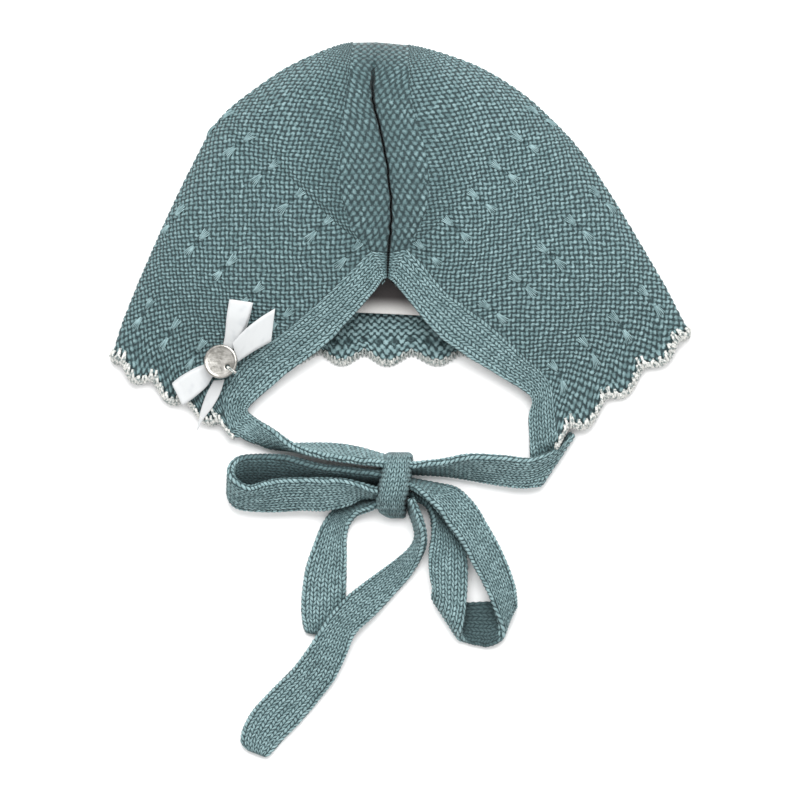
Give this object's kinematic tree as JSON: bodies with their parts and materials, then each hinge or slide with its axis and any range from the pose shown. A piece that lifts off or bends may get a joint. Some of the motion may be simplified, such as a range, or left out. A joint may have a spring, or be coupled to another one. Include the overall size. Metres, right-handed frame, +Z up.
{
  "type": "knitted baby bonnet",
  "caption": "Garter-knitted baby bonnet laid flat, with a back crease, scalloped pale edge, knitted ties in a bow and a small satin bow with a button.",
  "frame": {"origin": "middle of the laid bonnet and its ties, on the surface they lie on", "axes": "+X across the bonnet to the side away from the satin bow, +Y from the ties to the crown, +Z up from the surface"},
  "size_m": [0.23, 0.2864, 0.0291],
  "materials": {
    "sage_yarn": "matte knitted wool, grey-green teal",
    "pale_yarn": "matte off-white yarn",
    "white_satin": "white satin with a soft sheen",
    "brushed_metal": "warm nickel, lightly brushed",
    "label_cotton": "plain woven off-white, blank"
  },
  "bodies": {
    "root": {"hat_body": "sage_yarn", "face_trim": "pale_yarn", "neck_band": "sage_yarn", "tie_left": "sage_yarn", "tie_right": "sage_yarn", "bow_knot": "sage_yarn", "bow_loop_left": "sage_yarn", "bow_loop_right": "sage_yarn", "tie_end_short": "sage_yarn", "tie_end_long": "sage_yarn", "ribbon_loop_upper": "white_satin", "ribbon_loop_lower": "white_satin", "ribbon_end_upper": "white_satin", "ribbon_end_lower": "white_satin", "button": "brushed_metal", "button_thread": "pale_yarn", "neck_label": "label_cotton"}
  },
  "joints": []
}
